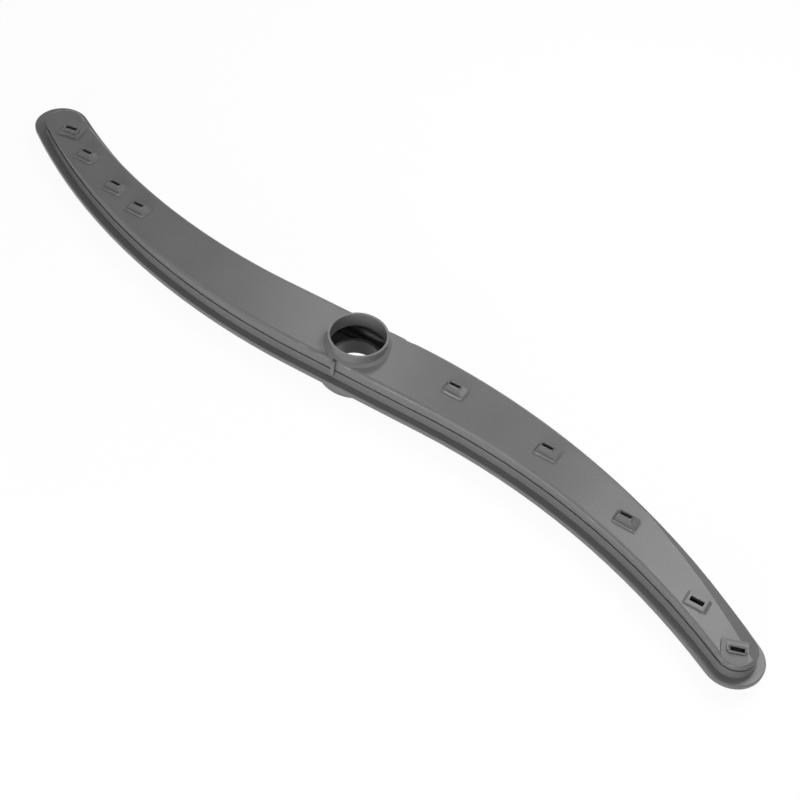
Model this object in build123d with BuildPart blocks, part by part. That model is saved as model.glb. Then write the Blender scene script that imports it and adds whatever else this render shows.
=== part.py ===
"""Spray arm of a dishwasher: an S-shaped hollow arm, moulded as a base and a cover.

The origin is on the hub axis at the foot of the lower collar, X runs along the arm at the
hub and Z is up. The flange is its own twin when it is turned by 180 degrees about Z. The
housing on it ends a little further inside the flange at the left tip than at the right one.
"""

from build123d import *
import math
import os

os.makedirs("parts", exist_ok=True)

# Plan of the flange edge: straight at the hub, then one arc along each side of an arm
half_span = 230.0
hub_half_width = 20.6
convex_start = 23.1
convex_radius = 359.7
concave_start = 47.2
concave_radius = 324.6

# Levels above the foot of the lower collar
belly_level = 2.0
belly_tip_level = 3.0
flange_bottom = 6.0
flange_top = 8.2
sleeve_level = 8.4
seam_level = 12.8
tip_level = 15.4
crown_level = 18.5
rim_level = 24.2

# How far the walls stand inside the flange edge, and how much further at the left tip
base_inset = 3.9
cover_inset = 4.4
belly_inset = 5.0
left_setback = 5.2

# Wall thicknesses
base_wall = 2.2
floor_thickness = 1.8
cover_wall = 1.8
roof_thickness = 1.9

# Hub
collar_radius = 14.4
collar_bore_radius = 13.3
lower_collar_radius = 18.0
sleeve_radius = 12.8
bore_radius = 11.2

# Joint of the shells: a lip of the cover inside the base, and a gap that traps weld flash
lip_depth = 1.6
lip_root = 0.8
lip_wall = 1.2
lip_clearance = 0.2
flash_gap_height = 0.8
flash_gap_depth = 0.7

# Locking tabs of the cover that reach down over the base beside the hub
tab_place = -2.6
tab_width = 1.8
tab_thickness = 0.9
tab_clearance = 0.1
tab_foot = 10.0
tab_rise = 0.5

# Edge roundings and bevels
crest_fillet = 1.7
flange_bevel = 0.4
belly_bevel = 2.0
collar_bevel = 1.5

# Sloping shoulder along the outer edge of each arm, which grows from its start to the tip
shoulder_from_tip = 92.0
shoulder_slope = 14.0
shoulder_edge = 0.3
shoulder_reach = 20.0

# Spray nozzles, each with its distance across from the middle line of the arm. On the right
# arm they are measured from the hub axis, on the left arm from the tip of the flange.
right_nozzles = [(50.9, 2.8), (102.8, 1.6), (148.7, 0.3)]
left_nozzles = [(91.5, -0.2), (72.5, -0.6), (46.0, -0.9)]

# Shape of a spray nozzle: a low pad, a hood with sloping sides and a slot along X
pad_left = 4.6
pad_right = 7.0
pad_front = 5.6
pad_back = 2.8
pad_height = 0.3
pad_border = 0.7
hood_height = 1.7
hood_length = 6.6
hood_width = 3.4
slot_length = 5.2
slot_width = 1.4

# Wide nozzle near the tip of the right arm
wide_from_tip = 37.1
wide_across = -2.9
wide_length = 14.0
wide_width = 7.6
wide_height = 0.9
wide_top_length = 8.4
wide_top_width = 6.6
wide_slot_length = 6.3
wide_slot_width = 2.6

# End nozzles: a block with a lip behind the slot and a face that slopes down to the tip
right_end_from_tip = 13.4
right_end_across = -1.9
right_end_turn = 20.0
left_end_from_tip = 27.8
left_end_across = 0.0
left_end_turn = 190.0
end_left = 6.6
end_right = 4.8
end_back = 4.6
end_front = 13.0
end_rise = 1.5
end_drop = 0.6
end_border = 0.6
end_lip_side = 4.4
end_lip_back = 3.0
end_lip_rise = 1.9
end_slot_length = 6.2
end_slot_width = 1.9

# Pocket below each slot, which leaves a thin wall for the slot to go through
pocket_margin = 0.4
nozzle_wall = 0.8

# How far a cut runs past the face that it crosses, and how often a search halves its range
overrun = 1.0
halvings = 60

convex_centre = (convex_start, hub_half_width - convex_radius)
concave_centre = (concave_start, -hub_half_width - concave_radius)
lip_inset = base_inset + base_wall + lip_clearance
shoulder_radius = convex_radius - cover_inset
nozzle_root = roof_thickness / 2
slot_depth = roof_thickness + overrun


def round_end(span):
    """Centre and radius of the circle that ends a right arm of the given span, touching its edges."""
    smallest = 0.0
    largest = hub_half_width
    for _ in range(halvings):
        radius = (smallest + largest) / 2
        x = span - radius
        reach = convex_radius - radius
        y = convex_centre[1] + math.sqrt(reach**2 - (x - convex_centre[0]) ** 2)
        gap = math.dist((x, y), concave_centre) - concave_radius - radius
        if gap > 0:
            smallest = radius
        else:
            largest = radius
    return (x, y), radius


def turn_about(centre, point):
    """Angle in degrees from the Y direction to a point, seen from a centre."""
    return math.degrees(math.atan2(point[0] - centre[0], point[1] - centre[1]))


def draw_arm(inset, setback=left_setback, mode=Mode.ADD):
    """Draw the S in the current sketch, inside the flange edge by the inset, less the setback."""
    half_width = hub_half_width - inset
    with BuildLine() as edge:
        for side, span in ((1, half_span), (-1, half_span - setback)):
            tip_centre, tip_radius = round_end(span)
            convex_turn = turn_about(convex_centre, tip_centre)
            concave_turn = turn_about(concave_centre, tip_centre)
            tip_turn = 180 + concave_turn - convex_turn
            start = (side * convex_start, side * half_width)
            outer = JernArc(start, (side, 0), convex_radius - inset, -convex_turn)
            tip = JernArc(outer @ 1, outer % 1, tip_radius - inset, -tip_turn)
            inner = JernArc(tip @ 1, tip % 1, concave_radius + inset, concave_turn)
            Line(inner @ 1, (-side * convex_start, -side * half_width))
    make_face(edge.edges(), mode=mode)


def draw_crown(flat, middle, end):
    """Draw a side view in the current sketch, between a level line and an arc over the span."""
    with BuildLine() as edge:
        arc = ThreePointArc((-half_span, end), (0, middle), (half_span, end))
        Polyline(arc @ 1, (half_span, flat), (-half_span, flat), arc @ 0)
    make_face(edge.edges())


def draw_rectangle(left, right, front, back):
    """Draw a rectangle in the current sketch between four sides."""
    with Locations(((left + right) / 2, (front + back) / 2)):
        Rectangle(right - left, back - front)


def on_arm(x, across):
    """Place in the plan at x, the given distance across from the middle line of the arm."""
    side = math.copysign(1, x)
    convex_run = max(abs(x) - convex_start, 0)
    concave_run = max(abs(x) - concave_start, 0)
    convex_edge = convex_centre[1] + math.sqrt(convex_radius**2 - convex_run**2)
    concave_edge = concave_centre[1] + math.sqrt(concave_radius**2 - concave_run**2)
    return (x, side * (convex_edge + concave_edge) / 2 + across)


def roof_level(place):
    """Height of the crowned top of the cover at a place in the plan."""
    rise = crown_level - tip_level
    crown_radius = (half_span**2 + rise**2) / (2 * rise)
    return crown_level - crown_radius + math.sqrt(crown_radius**2 - place[0] ** 2)


nozzle_places = [on_arm(from_hub, across) for from_hub, across in right_nozzles]
nozzle_places += [on_arm(from_tip - half_span, across) for from_tip, across in left_nozzles]
wide_place = on_arm(half_span - wide_from_tip, wide_across)
end_places = [
    (on_arm(half_span - right_end_from_tip, right_end_across), right_end_turn),
    (on_arm(left_end_from_tip - half_span, left_end_across), left_end_turn),
]

# Lower shell: belly, flange, rim wall, lower collar and sleeve
with BuildPart() as base_hollow:
    with BuildSketch(Plane.XY):
        draw_arm(belly_inset + base_wall)
    extrude(amount=seam_level)
    with BuildSketch(Plane.XZ):
        draw_crown(seam_level, belly_level + floor_thickness, belly_tip_level + floor_thickness)
    extrude(amount=half_span, both=True, mode=Mode.INTERSECT)
    with BuildSketch(Plane.XY.offset(flange_bottom)):
        draw_arm(base_inset + base_wall)
    extrude(amount=seam_level - flange_bottom)

with BuildPart() as base:
    with BuildSketch(Plane.XY):
        draw_arm(belly_inset)
    extrude(amount=flange_top)
    with BuildSketch(Plane.XZ):
        draw_crown(flange_top, belly_level, belly_tip_level)
    extrude(amount=half_span, both=True, mode=Mode.INTERSECT)
    chamfer(base.faces().sort_by(Axis.Z)[0].edges(), belly_bevel)
    with BuildSketch(Plane.XY.offset(flange_bottom)):
        draw_arm(0, setback=0)
    extrude(amount=flange_top - flange_bottom)
    chamfer(base.edges().group_by(Axis.Z)[-1], flange_bevel)
    with BuildSketch(Plane.XY.offset(flange_bottom)):
        draw_arm(base_inset)
    extrude(amount=seam_level - flange_bottom)
    with BuildSketch(Plane.XY):
        Circle(lower_collar_radius)
    extrude(amount=flange_bottom)
    add(base_hollow.part, mode=Mode.SUBTRACT)
    with BuildSketch(Plane.XY):
        Circle(sleeve_radius)
    extrude(amount=sleeve_level)
    with BuildSketch(Plane.XY):
        Circle(bore_radius)
    extrude(amount=sleeve_level, mode=Mode.SUBTRACT)

base.part.label = "lower_shell"
export_step(base.part, "parts/lower_shell.step")

# Upper shell: crowned roof, skirt, locating lip, hub collar, locking tabs and nozzles
with BuildPart() as cover_hollow:
    with BuildSketch(Plane.XY):
        draw_arm(cover_inset + cover_wall)
    extrude(amount=crown_level)
    with BuildSketch(Plane.XZ):
        draw_crown(0, crown_level - roof_thickness, tip_level - roof_thickness)
    extrude(amount=half_span, both=True, mode=Mode.INTERSECT)

# A ring above a cone about the axis of an arm's outer edge, tilted down towards the tip
with BuildPart() as shoulder:
    cone_rise = math.tan(math.radians(shoulder_slope))
    shoulder_start = on_arm(half_span - shoulder_from_tip, 0)
    start_level = roof_level(shoulder_start)
    tip_fall = start_level - seam_level - flash_gap_height - shoulder_edge
    first_turn = math.asin((shoulder_start[0] - convex_start) / shoulder_radius)
    last_turn = math.asin((half_span - cover_inset - convex_start) / shoulder_radius)
    tilt = math.atan(tip_fall / shoulder_radius / (last_turn - first_turn))
    with BuildSketch(Plane.YZ):
        with BuildLine():
            Polyline(
                (shoulder_radius - shoulder_reach, shoulder_reach * cone_rise),
                (shoulder_radius + overrun, -overrun * cone_rise),
                (shoulder_radius + overrun, shoulder_reach * cone_rise),
                close=True,
            )
        make_face()
    revolve(axis=Axis.Z)
    start_axis = Axis((0, 0, 0), (math.sin(first_turn), math.cos(first_turn), 0))
    shoulder_ring = shoulder.part.rotate(start_axis, math.degrees(tilt))
    shoulder_ring = Location((*convex_centre, start_level)) * shoulder_ring

with BuildPart() as tab:
    wall_face = tab_clearance + hub_half_width - base_inset
    tab_top = crown_level + tab_rise
    tab_root = seam_level + flash_gap_height
    with BuildSketch(Plane.YZ.offset(tab_place)):
        with BuildLine():
            Polyline(
                (-wall_face, tab_foot),
                (-wall_face - tab_thickness, tab_foot),
                (-wall_face - tab_thickness, tab_top - tab_thickness),
                (-wall_face, tab_top),
                (-collar_radius, tab_top),
                (-collar_radius, tab_root),
                (-wall_face, tab_root),
                close=True,
            )
        make_face()
    extrude(amount=tab_width / 2, both=True)

# One end block about its slot, at the level of the roof
with BuildPart() as end_block:
    with BuildSketch(Plane.YZ.offset(-end_left)):
        with BuildLine():
            Polyline(
                (end_back, -nozzle_root),
                (end_back, end_rise),
                (-end_front, -end_drop),
                (-end_front, -nozzle_root),
                close=True,
            )
        make_face()
    extrude(amount=end_left + end_right)
    with BuildSketch(Plane.XY.offset(-nozzle_root)):
        draw_rectangle(-end_lip_side, end_lip_side, -end_slot_width / 2, end_lip_back)
    extrude(amount=nozzle_root + end_lip_rise)

with BuildPart() as end_nozzles:
    for place, turn in end_places:
        add(Location((*place, roof_level(place)), (0, 0, turn)) * end_block.part)
    with BuildSketch(Plane.XY):
        draw_arm(cover_inset + end_border)
    extrude(amount=rim_level, mode=Mode.INTERSECT)

with BuildPart() as cover:
    with BuildSketch(Plane.XY.offset(seam_level)):
        draw_arm(cover_inset)
    extrude(amount=crown_level)
    with BuildSketch(Plane.XZ):
        draw_crown(seam_level, crown_level, tip_level)
    extrude(amount=half_span, both=True, mode=Mode.INTERSECT)
    fillet(cover.faces().sort_by(Axis.Z)[-1].edges(), crest_fillet)

    # Shoulders of both arms
    for turn in (0, 180):
        add(shoulder_ring, rotation=(0, 0, turn), mode=Mode.SUBTRACT)

    # Hollow, gap for weld flash and locating lip
    add(cover_hollow.part, mode=Mode.SUBTRACT)
    with BuildSketch(Plane.XY.offset(seam_level)):
        draw_arm(cover_inset - overrun)
        draw_arm(cover_inset + flash_gap_depth, mode=Mode.SUBTRACT)
    extrude(amount=flash_gap_height, mode=Mode.SUBTRACT)
    with BuildSketch(Plane.XY.offset(seam_level)):
        draw_arm(cover_inset + flash_gap_depth)
        draw_arm(lip_inset + lip_wall, mode=Mode.SUBTRACT)
    extrude(amount=lip_root)
    with BuildSketch(Plane.XY.offset(seam_level - lip_depth)):
        draw_arm(lip_inset)
        draw_arm(lip_inset + lip_wall, mode=Mode.SUBTRACT)
    extrude(amount=lip_depth)

    # Hub collar with a sloping foot, and its bore
    with BuildSketch(Plane.XZ):
        with BuildLine():
            Polyline(
                (collar_radius, rim_level),
                (collar_bore_radius, rim_level),
                (collar_bore_radius, crown_level - roof_thickness),
                (collar_radius + collar_bevel, crown_level - roof_thickness),
                (collar_radius + collar_bevel, crown_level),
                (collar_radius, crown_level + collar_bevel),
                close=True,
            )
        make_face()
    revolve(axis=Axis.Z)
    with BuildSketch(Plane.XY.offset(seam_level - lip_depth)):
        Circle(collar_bore_radius)
    extrude(amount=rim_level, mode=Mode.SUBTRACT)

    # Nozzles along the arms
    for place in nozzle_places:
        level = roof_level(place)
        with BuildSketch(Plane.XY.offset(level - nozzle_root)):
            with Locations(place):
                draw_rectangle(-pad_left, pad_right, -pad_front, pad_back)
        extrude(amount=nozzle_root + pad_height)
        with BuildSketch(Plane.XY.offset(level + pad_height)):
            with Locations(place):
                draw_rectangle(
                    -pad_left + pad_border,
                    pad_right - pad_border,
                    -pad_front + pad_border,
                    pad_back - pad_border,
                )
        with BuildSketch(Plane.XY.offset(level + hood_height)):
            with Locations(place):
                Rectangle(hood_length, hood_width)
        loft()
        with BuildSketch(Plane.XY.offset(level - slot_depth)):
            with Locations(place):
                Rectangle(slot_length + 2 * pocket_margin, slot_width + 2 * pocket_margin)
        extrude(amount=slot_depth + hood_height - nozzle_wall, mode=Mode.SUBTRACT)
        with BuildSketch(Plane.XY.offset(level - slot_depth)):
            with Locations(place):
                Rectangle(slot_length, slot_width)
        extrude(amount=slot_depth + hood_height, mode=Mode.SUBTRACT)

    # Wide nozzle
    wide_level = roof_level(wide_place)
    with BuildSketch(Plane.XY.offset(wide_level - wide_height)):
        with Locations(wide_place):
            Rectangle(wide_length, wide_width)
    with BuildSketch(Plane.XY.offset(wide_level + wide_height)):
        with Locations(wide_place):
            Rectangle(wide_top_length, wide_top_width)
    loft()
    with BuildSketch(Plane.XY.offset(wide_level - slot_depth)):
        with Locations(wide_place):
            Rectangle(wide_slot_length + 2 * pocket_margin, wide_slot_width + 2 * pocket_margin)
    extrude(amount=slot_depth + wide_height - nozzle_wall, mode=Mode.SUBTRACT)
    with BuildSketch(Plane.XY.offset(wide_level - slot_depth)):
        with Locations(wide_place):
            Rectangle(wide_slot_length, wide_slot_width)
    extrude(amount=slot_depth + wide_height, mode=Mode.SUBTRACT)

    # End nozzles with their slots
    add(end_nozzles.part)
    for place, turn in end_places:
        level = roof_level(place)
        with BuildSketch(Plane.XY.offset(level - slot_depth)):
            with Locations(Location((*place, 0), (0, 0, turn))):
                draw_rectangle(
                    -end_slot_length / 2 - pocket_margin,
                    end_slot_length / 2 + pocket_margin,
                    -end_slot_width / 2,
                    end_slot_width / 2 + pocket_margin,
                )
        extrude(amount=slot_depth + end_lip_rise - nozzle_wall, mode=Mode.SUBTRACT)
        with BuildSketch(Plane.XY.offset(level - slot_depth)):
            with Locations(place):
                Rectangle(end_slot_length, end_slot_width, rotation=turn)
        extrude(amount=slot_depth + end_lip_rise, mode=Mode.SUBTRACT)

    # Locking tabs, the same on both sides of the hub
    for turn in (0, 180):
        add(tab.part, rotation=(0, 0, turn))

cover.part.label = "upper_shell"
export_step(cover.part, "parts/upper_shell.step")
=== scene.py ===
# %% [markdown]
# # A dishwasher's spray arm
# The arm is a flat S of grey polypropylene: a cover with the nozzles on it, welded to a base with a
# flange. Water comes up through the hub and leaves through the slots, and the jets turn the arm.
# The construction is loaded as it is, because its shape is exact. What is added here is what the
# moulding and welding leave on the surface, the finish of the plastic, the light and the camera.

# %% Load the arm
import math

import bpy
import numpy as np
from mathutils import Matrix, Vector


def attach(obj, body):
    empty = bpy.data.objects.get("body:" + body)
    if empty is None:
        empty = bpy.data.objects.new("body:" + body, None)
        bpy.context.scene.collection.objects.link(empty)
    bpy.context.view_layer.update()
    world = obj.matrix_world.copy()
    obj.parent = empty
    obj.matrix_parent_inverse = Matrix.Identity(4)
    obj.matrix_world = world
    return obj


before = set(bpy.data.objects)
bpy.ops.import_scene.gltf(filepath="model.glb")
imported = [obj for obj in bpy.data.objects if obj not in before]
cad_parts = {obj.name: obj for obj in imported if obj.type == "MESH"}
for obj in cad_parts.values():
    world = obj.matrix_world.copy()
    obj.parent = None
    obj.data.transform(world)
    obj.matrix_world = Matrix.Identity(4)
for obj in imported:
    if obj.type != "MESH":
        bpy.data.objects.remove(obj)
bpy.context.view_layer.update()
MM = 0.001
print("nodes:", sorted(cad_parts))

# %% [markdown]
# ## Camera
# The photograph is taken from the front right and from above, with a long lens and a slight roll.
# The angles below come from fitting the arm's edges and the collar's rim to the picture, so the
# camera is set by its place, its heading, how far it looks down and its roll, in that order.

# %% Camera
camera_place = (245.47 * MM, -460.71 * MM, 564.58 * MM)
camera_heading = math.radians(25.535)
camera_elevation = math.radians(48.114)
camera_roll = math.radians(7.415)

camera = bpy.data.objects.new("camera", bpy.data.cameras.new("camera"))
bpy.context.scene.collection.objects.link(camera)
camera.data.lens = 73.08
camera.data.sensor_width = 36.0
camera.data.clip_start = 0.05
camera.matrix_world = (
    Matrix.Translation(camera_place)
    @ Matrix.Rotation(camera_heading, 4, "Z")
    @ Matrix.Rotation(math.pi / 2 - camera_elevation, 4, "X")
    @ Matrix.Rotation(camera_roll, 4, "Z")
)
bpy.context.scene.camera = camera
print("distance from camera to hub in mm:", round(Vector(camera_place).length / MM))

# %% [markdown]
# ## Nodes without a mouse
# A material is a small graph. Two short helpers keep the cells below readable: one makes a node and
# sets its inputs, the other starts a material with an empty graph.


# %% Helpers for materials
def new_material(name):
    """An empty node material, and its tree."""
    material = bpy.data.materials.new(name)
    material.use_nodes = True
    material.node_tree.nodes.clear()
    return material, material.node_tree


def node(tree, kind, links=None, **values):
    """Add a node, set its inputs or settings by name, and link sockets of other nodes to it."""
    made = tree.nodes.new(kind)
    for key, value in values.items():
        if key in made.inputs:
            made.inputs[key].default_value = value
        else:
            setattr(made, key, value)
    for socket, source in (links or {}).items():
        tree.links.new(source, made.inputs[socket])
    return made


# %% [markdown]
# ## Grey polypropylene
# The plastic is coloured through and comes from a satin mould, so it mirrors less than a polished
# surface would. Close up it has a fine even grain, and the tone drifts a little where the melt
# flowed. A picture could give that too, but noise has no edges and fits every side. One material
# serves both shells and the details that are added to them, because it is all the same plastic.

# %% Grey plastic
shell_grey = (0.185, 0.185, 0.187)
shell_roughness = 0.28
shell_shine = {"IOR": 1.49, "Specular IOR Level": 0.3}
tone_spread = 0.05
gloss_spread = 0.05
grain_depth = 0.04 * MM


def grey_plastic(name, colour, roughness):
    """Satin moulded plastic: slow drift of tone, fine grain in the gloss and in the relief."""
    material, tree = new_material(name)
    place = node(tree, "ShaderNodeTexCoord").outputs["Object"]
    drift = node(tree, "ShaderNodeTexNoise", {"Vector": place}, Scale=35.0, Detail=3.0, Roughness=0.5)
    tone = node(tree, "ShaderNodeValToRGB", {"Fac": drift.outputs["Fac"]})
    dark, light = tone.color_ramp.elements
    dark.position = 0.3
    light.position = 0.7
    dark.color = (*[c * (1 - tone_spread) for c in colour], 1)
    light.color = (*[c * (1 + tone_spread) for c in colour], 1)
    grain = node(tree, "ShaderNodeTexNoise", {"Vector": place}, Scale=2600.0, Detail=2.0, Roughness=0.6)
    height = grain.outputs["Fac"]
    gloss = node(tree, "ShaderNodeMapRange", {"Value": height})
    gloss.inputs["To Min"].default_value = roughness - gloss_spread
    gloss.inputs["To Max"].default_value = roughness + gloss_spread
    relief = node(tree, "ShaderNodeBump", {"Height": height}, Strength=0.12, Distance=grain_depth)
    surface = {
        "Base Color": tone.outputs["Color"],
        "Roughness": gloss.outputs["Result"],
        "Normal": relief.outputs["Normal"],
    }
    plastic = node(tree, "ShaderNodeBsdfPrincipled", surface, **shell_shine)
    node(tree, "ShaderNodeOutputMaterial", {"Surface": plastic.outputs["BSDF"]})
    return material


shell_plastic = grey_plastic("satin_grey_plastic", shell_grey, shell_roughness)
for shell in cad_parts.values():
    shell.data.materials.clear()
    shell.data.materials.append(shell_plastic)
print("satin plastic on:", sorted(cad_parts))

# %% [markdown]
# ## The S of the arm, once more
# The weld follows the arm's outline and the nozzles stand on its middle line, so the plan is worked
# out here again from the same sizes. It could be read from the mesh, but a formula gives an even
# spacing of points and stays right if the mesh gets finer. Each half is an outer arc, the circle of
# the tip, an inner arc and a straight run past the hub; the left half is turned by 180 degrees.

# %% Plan of the arm
half_span = 230.0 * MM
left_setback = 5.2 * MM
hub_half_width = 20.6 * MM
convex_start = 23.1 * MM
convex_radius = 359.7 * MM
concave_start = 47.2 * MM
concave_radius = 324.6 * MM
convex_centre = np.array([convex_start, hub_half_width - convex_radius])
concave_centre = np.array([concave_start, -hub_half_width - concave_radius])
tried_radii = 20001


def round_end(span):
    """Centre and radius of the tip's circle. Over many radii, the gap is the distance between a
    circle that touches the outer arc and the end line, and the inner arc; the right one has no gap."""
    radius = np.linspace(0.0, hub_half_width, tried_radii)
    x = span - radius
    y = convex_centre[1] + np.sqrt((convex_radius - radius) ** 2 - (x - convex_centre[0]) ** 2)
    gap = np.hypot(x - concave_centre[0], y - concave_centre[1]) - concave_radius - radius
    found = np.interp(0.0, -gap, radius)
    return np.array([span - found, np.interp(found, radius, y)]), found


def arc(centre, radius, first, last, step):
    """Points of a circle between two turns t from the Y direction: centre + radius (sin t, cos t)."""
    count = max(int(abs(last - first) * radius / step), 2)
    turns = np.linspace(first, last, count, endpoint=False)
    return centre + radius * np.stack([np.sin(turns), np.cos(turns)], axis=1)


def half_outline(span, inset, step):
    """From the hub along the outer arc, round the tip, back along the inner arc and past the hub."""
    centre, radius = round_end(span)
    convex_turn = np.arctan2(*(centre - convex_centre))
    concave_turn = np.arctan2(*(centre - concave_centre))
    outer = arc(convex_centre, convex_radius - inset, 0.0, convex_turn, step)
    tip = arc(centre, radius - inset, convex_turn, math.pi + concave_turn, step)
    inner = arc(concave_centre, concave_radius + inset, concave_turn, 0.0, step)
    along = np.arange(concave_start, -convex_start, -step)
    straight = np.stack([along, np.full_like(along, inset - hub_half_width)], axis=1)
    return np.concatenate([outer, tip, inner, straight])


def arm_outline(inset, step):
    """The closed S at an inset from the flange's edge. At the left tip it stays back further."""
    right = half_outline(half_span, inset, step)
    left = -half_outline(half_span - left_setback, inset, step)
    return np.concatenate([right, left])


tip_centre, tip_radius = round_end(half_span)
print("tip circle in mm:", (tip_centre / MM).round(2), round(tip_radius / MM, 2))

# %% [markdown]
# ## Middle line and roof
# A nozzle is placed by its distance along the arm and its distance across from the middle line,
# which runs halfway between the outer and the inner arc. Its height comes from the roof, a very flat
# arc from tip to tip.

# %% Places on the roof
crown_level = 18.5 * MM
tip_level = 15.4 * MM


def on_arm(x, across):
    """Places in the plan at x, the given distance across from the arm's middle line."""
    convex_run = np.maximum(np.abs(x) - convex_start, 0.0)
    concave_run = np.maximum(np.abs(x) - concave_start, 0.0)
    convex_edge = convex_centre[1] + np.sqrt(convex_radius**2 - convex_run**2)
    concave_edge = concave_centre[1] + np.sqrt(concave_radius**2 - concave_run**2)
    return np.stack([x, np.sign(x) * (convex_edge + concave_edge) / 2 + across], axis=-1)


def roof_level(x):
    """Height of the cover's top: an arc with the rise at its middle and the span as its chord."""
    rise = crown_level - tip_level
    crown_radius = (half_span**2 + rise**2) / (2 * rise)
    return crown_level - crown_radius + np.sqrt(crown_radius**2 - x**2)


print("roof in mm at hub and half way:", [round(roof_level(x) / MM, 2) for x in (0.0, half_span / 2)])

# %% [markdown]
# ## A bead carried along a path
# The added details are all beads: a section that travels along a closed line. It is round for the
# weld, and has flat sloping flanks for lips and rims, because those catch the light as a clear line.
# At each point of the line the section's frame is the sideways direction in the plan and the one
# that is square to it and to the line. A curve with a bevel could do it too, but not with a section
# that grows on its way. The grid closes on itself both ways, so the surface has no ends to cap.

# %% Beads
section_points = 16


def signed_power(values, power):
    """|v| to a power, with the sign of v."""
    return np.sign(values) * np.abs(values) ** power


def bead(path, across, upright, flank=1.0):
    """Grid of points: path + across c side + upright s up, where c and s are cos and sin of the
    section's turn, raised to the flank power with their signs kept. A power of 1 is round, one near
    2 has flat sloping flanks."""
    along = np.roll(path, -1, axis=0) - np.roll(path, 1, axis=0)
    along /= np.linalg.norm(along, axis=1, keepdims=True)
    side = np.stack([-along[:, 1], along[:, 0], np.zeros(len(path))], axis=1)
    side /= np.linalg.norm(side, axis=1, keepdims=True)
    up = np.cross(along, side)
    turn = np.linspace(0.0, 2 * math.pi, section_points, endpoint=False)
    c = signed_power(np.cos(turn), flank)[None, :, None]
    s = signed_power(np.sin(turn), flank)[None, :, None]
    across = np.broadcast_to(across, len(path))[:, None, None]
    upright = np.broadcast_to(upright, len(path))[:, None, None]
    return path[:, None] + across * c * side[:, None] + upright * s * up[:, None]


def ring_quads(rows, columns, first):
    """Corner numbers of the faces of a grid that closes on itself both ways."""
    corner = np.arange(rows * columns).reshape(rows, columns) + first
    ahead = np.roll(corner, -1, axis=0)
    quads = [corner, ahead, np.roll(ahead, -1, axis=1), np.roll(corner, -1, axis=1)]
    return np.stack(quads, axis=-1).reshape(-1, 4)


def beads_to_piece(name, grids):
    """One smooth object from closed grids, which rides on the arm. The volume is the sum of a
    pyramid from the origin to each face; where it is negative, the faces are turned outwards."""
    starts = np.cumsum([0] + [grid.shape[0] * grid.shape[1] for grid in grids])
    points = np.concatenate([grid.reshape(-1, 3) for grid in grids])
    quads = np.concatenate([ring_quads(*grid.shape[:2], start) for grid, start in zip(grids, starts)])
    a, b, c, d = (points[quads[:, k]] for k in range(4))
    volume = np.sum(a * (np.cross(b, c) + np.cross(c, d))) / 6
    if volume < 0:
        quads = quads[:, ::-1]
    mesh = bpy.data.meshes.new(name)
    mesh.from_pydata(points.tolist(), [], quads.tolist())
    mesh.shade_smooth()
    mesh.materials.append(shell_plastic)
    piece = bpy.data.objects.new(name, mesh)
    bpy.context.scene.collection.objects.link(piece)
    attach(piece, "root")
    print(name, "has", len(quads), "faces and", round(abs(volume) / MM**3, 2), "cubic mm")


# %% [markdown]
# ## The weld's bead
# The two shells are welded along the seam, and the plastic that the weld pushes out collects in a
# groove under the cover's edge. It lies there as a thin uneven bead. A few waves that each fit the
# round trip a whole number of times make it thicker and thinner without a seam where it closes.

# %% Weld bead
bead_inset = 4.85 * MM
bead_level = 13.05 * MM
bead_radius = 0.27 * MM
bead_step = 0.9 * MM

seam_plan = arm_outline(bead_inset, bead_step)
seam_path = np.column_stack([seam_plan, np.full(len(seam_plan), bead_level)])
trip = np.linspace(0.0, 2 * math.pi, len(seam_path), endpoint=False)
long_wave = 0.10 * np.sin(41 * trip + 0.7)
middle_wave = 0.08 * np.sin(97 * trip + 2.1)
short_wave = 0.06 * np.sin(173 * trip + 4.0)
bead_size = bead_radius * (1 + long_wave + middle_wave + short_wave)
beads_to_piece("weld_bead", [bead(seam_path, bead_size, bead_size)])

# %% [markdown]
# ## Where the nozzles are
# Six small nozzles spray upwards, three on each arm, and an end nozzle near each tip is turned so
# that its jet pushes the arm round. The small ones on the right are measured from the hub, all the
# others from their tip.

# %% Nozzle places
right_from_hub = np.array([50.9, 102.8, 148.7]) * MM
right_across = np.array([2.8, 1.6, 0.3]) * MM
left_from_tip = np.array([91.5, 72.5, 46.0]) * MM
left_across = np.array([-0.2, -0.6, -0.9]) * MM
right_end_from_tip = 13.4 * MM
right_end_across = -1.9 * MM
right_end_turn = math.radians(20)
left_end_from_tip = 27.8 * MM
left_end_turn = math.radians(190)

small_places = np.concatenate(
    [on_arm(right_from_hub, right_across), on_arm(left_from_tip - half_span, left_across)]
)
right_end = on_arm(half_span - right_end_from_tip, right_end_across)
left_end = on_arm(left_end_from_tip - half_span, 0.0)
print("small nozzles in mm:", (small_places / MM).round(1).tolist())

# %% [markdown]
# ## Lips of the slots
# A slot that sprays has a raised lip, which keeps the jet together. The line that a lip follows is a
# rectangle with round corners, taken as a superellipse so that one formula gives it: cos and sin of
# the turn, each raised to a small power with its sign kept. At the two end nozzles the cover falls
# away in front of the slot, so there the lip's front run is a taller wall.

# %% Slot lips
corner_power = 0.3
ring_points = 96
lip_radius = 0.5 * MM
lip_flank = 1.7
small_slot = (5.2 * MM, 1.4 * MM)
small_levels = (1.5 * MM, 1.5 * MM)
small_heights = (0.85 * MM, 0.85 * MM)
end_slot = (6.2 * MM, 1.9 * MM)
end_levels = (1.2 * MM, 1.75 * MM)
end_heights = (0.9 * MM, 0.5 * MM)


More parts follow.
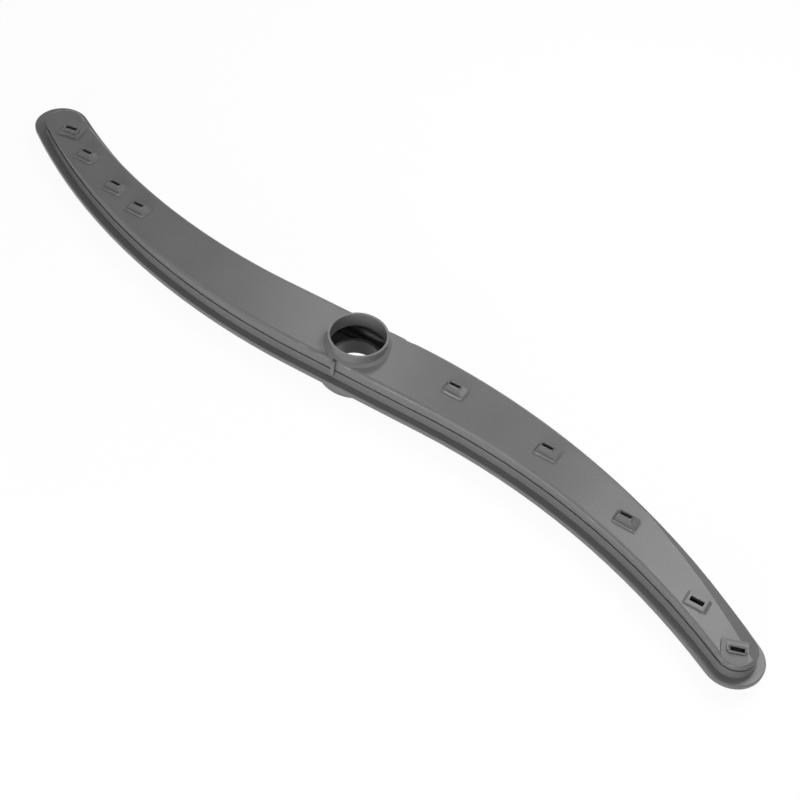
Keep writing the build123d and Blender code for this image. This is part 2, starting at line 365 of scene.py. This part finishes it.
def rounded_ring(centre, turn, half_length, half_width):
    """Plan of a closed line: (L |cos|^p, W |sin|^p) with their signs, turned and moved to its centre.
    It comes with the share of the way from its front side to its back side."""
    angle = np.linspace(0.0, 2 * math.pi, ring_points, endpoint=False)
    x = half_length * signed_power(np.cos(angle), corner_power)
    y = half_width * signed_power(np.sin(angle), corner_power)
    plan_x = centre[0] + x * math.cos(turn) - y * math.sin(turn)
    plan_y = centre[1] + x * math.sin(turn) + y * math.cos(turn)
    return np.stack([plan_x, plan_y], axis=1), (y / half_width + 1) / 2


def lip_grid(place, turn, slot, levels, heights):
    """Bead around a slot. Its level above the roof and its half height go from their front to their
    back values within the front third of the slot's width."""
    plan, share = rounded_ring(place, turn, slot[0] / 2 + lip_radius, slot[1] / 2 + lip_radius)
    share = np.clip(3 * share, 0.0, 1.0)
    level = roof_level(place[0]) + levels[0] + (levels[1] - levels[0]) * share
    height = heights[0] + (heights[1] - heights[0]) * share
    return bead(np.column_stack([plan, level]), lip_radius, height, lip_flank)


lips = [lip_grid(place, 0.0, small_slot, small_levels, small_heights) for place in small_places]
lips.append(lip_grid(right_end, right_end_turn, end_slot, end_levels, end_heights))
lips.append(lip_grid(left_end, left_end_turn, end_slot, end_levels, end_heights))
beads_to_piece("slot_lips", lips)

# %% [markdown]
# ## Rims of the nozzle pads
# Each of the six small nozzles stands on a low pad with a raised rim. In low light from the front
# the rim's front run is a bright line with a shadow behind it, and that is how the pads show.

# %% Pad rims
rim_radius = 0.6 * MM
rim_level = 0.2 * MM
rim_front_height = 0.95 * MM
rim_back_height = 0.45 * MM
rim_flank = 2.0
pad_centre = np.array([1.2, -1.4]) * MM
pad_half_length = 5.3 * MM
pad_half_width = 3.7 * MM


def rim_grid(place):
    """Bead along the border of a pad, which lies off the slot's centre towards the front right. Its
    half height falls along the sides from the front to the back."""
    plan, share = rounded_ring(place + pad_centre, 0.0, pad_half_length, pad_half_width)
    height = rim_front_height + (rim_back_height - rim_front_height) * share
    path = np.column_stack([plan, roof_level(plan[:, 0]) + rim_level])
    return bead(path, rim_radius, height, rim_flank)


beads_to_piece("pad_rims", [rim_grid(place) for place in small_places])

# %% [markdown]
# ## Floor
# A spare part is pictured on white. The floor is a plain pale sheet. The camera sees it glow white,
# and so does what gloss mirrors, but a part of the soft shadow stays, so that the arm doesn't float.
# More light would whiten the floor too, but it would bleach the arm.

# %% Floor
floor_half = 3.0
floor_pale = (0.8, 0.8, 0.8, 1)
floor_glow = 1.05
glow_share = 0.9


def white_rays(tree):
    """1 for rays that should meet white: from the camera, off gloss and through glass; else 0."""
    ray = node(tree, "ShaderNodeLightPath").outputs
    seen = {0: ray["Is Camera Ray"], 1: ray["Is Glossy Ray"]}
    shine = node(tree, "ShaderNodeMath", seen, operation="MAXIMUM").outputs[0]
    through = {0: shine, 1: ray["Is Transmission Ray"]}
    return node(tree, "ShaderNodeMath", through, operation="MAXIMUM").outputs[0]


def pale_floor():
    """A sheet under the arm: pale for light that bounces, nearly white for the camera."""
    mesh = bpy.data.meshes.new("floor")
    near = -floor_half
    far = floor_half
    corners = [(near, near, 0), (far, near, 0), (far, far, 0), (near, far, 0)]
    mesh.from_pydata(corners, [], [(0, 1, 2, 3)])
    floor = bpy.data.objects.new("floor", mesh)
    bpy.context.scene.collection.objects.link(floor)
    material, tree = new_material("floor_white")
    pale = node(tree, "ShaderNodeBsdfDiffuse", Color=floor_pale).outputs["BSDF"]
    glow = node(tree, "ShaderNodeEmission", Strength=floor_glow).outputs["Emission"]
    share = node(tree, "ShaderNodeMath", {0: white_rays(tree)}, operation="MULTIPLY")
    share.inputs[1].default_value = glow_share
    mix = node(tree, "ShaderNodeMixShader", {0: share.outputs[0], 1: pale, 2: glow})
    node(tree, "ShaderNodeOutputMaterial", {"Surface": mix.outputs["Shader"]})
    mesh.materials.append(material)


pale_floor()
print("floor is a sheet of", 2 * floor_half, "m each way")

# %% [markdown]
# ## Lights
# Satin plastic shows its form by long soft highlights, so the lamps are softboxes. Two stand low in
# front, where the walls and the pads' rims catch them, and the larger ones stand round the arm. Two
# small ones behind it give the sheen along the roof: each is where the roof mirrors the camera. Few
# lamps stand high in front, because they would light the inside of the hub, which is dark in the
# photograph. Places and sizes are in metres, powers in watts.

# %% Lights
hub = (0, 0, 0)


def softbox(name, place, aim, size, power):
    """A square area light at a place, turned towards the point that it aims at."""
    light = bpy.data.lights.new(name, "AREA")
    light.size = size
    light.energy = power
    lamp = bpy.data.objects.new(name, light)
    lamp.location = place
    lamp.rotation_euler = (Vector(aim) - Vector(place)).to_track_quat("-Z", "Y").to_euler()
    bpy.context.scene.collection.objects.link(lamp)


softbox("softbox_front", place=(0.404, -1.110, 0.208), aim=hub, size=0.35, power=4.8)
softbox("low_front", place=(-0.11, -0.48, 0.105), aim=(0.06, -0.02, 0.015), size=0.15, power=0.8)
softbox("softbox_left", place=(-0.545, -0.650, 0.849), aim=hub, size=0.35, power=0.5)
softbox("softbox_right", place=(0.395, 0.564, 0.983), aim=hub, size=0.35, power=1.0)
softbox("fill_back", place=(-0.189, 1.071, 0.507), aim=hub, size=0.35, power=0.8)
softbox("softbox_top", place=(0.0, 0.0, 1.2), aim=hub, size=0.5, power=0.8)
softbox("overhead_right", place=(0.36, -0.10, 0.40), aim=(0.2, -0.05, 0), size=0.25, power=0.22)
softbox("sheen_left", place=(-0.20, 0.35, 0.43), aim=(-0.03, 0, 0), size=0.12, power=0.28)
softbox("sheen_right", place=(0.18, 0.25, 0.42), aim=(0.19, -0.045, 0), size=0.22, power=0.9)
print("lamps in watts:", {light.name: round(light.energy, 2) for light in bpy.data.lights})

# %% [markdown]
# ## World
# The world fills the shadows weakly, but the camera and gloss see it white, as they see the floor.
# The plain view transform shows the colours about as they are written.

# %% World
world_fill = 0.03
world_white = 1.0

world = bpy.data.worlds.new("studio")
bpy.context.scene.world = world
world.use_nodes = True
strength = node(world.node_tree, "ShaderNodeMapRange", {"Value": white_rays(world.node_tree)})
strength.inputs["To Min"].default_value = world_fill
strength.inputs["To Max"].default_value = world_white
background = world.node_tree.nodes["Background"]
background.inputs["Color"].default_value = (1, 1, 1, 1)
world.node_tree.links.new(strength.outputs["Result"], background.inputs["Strength"])
bpy.context.scene.view_settings.view_transform = "Standard"
print("world fills with", world_fill, "and shows", world_white)
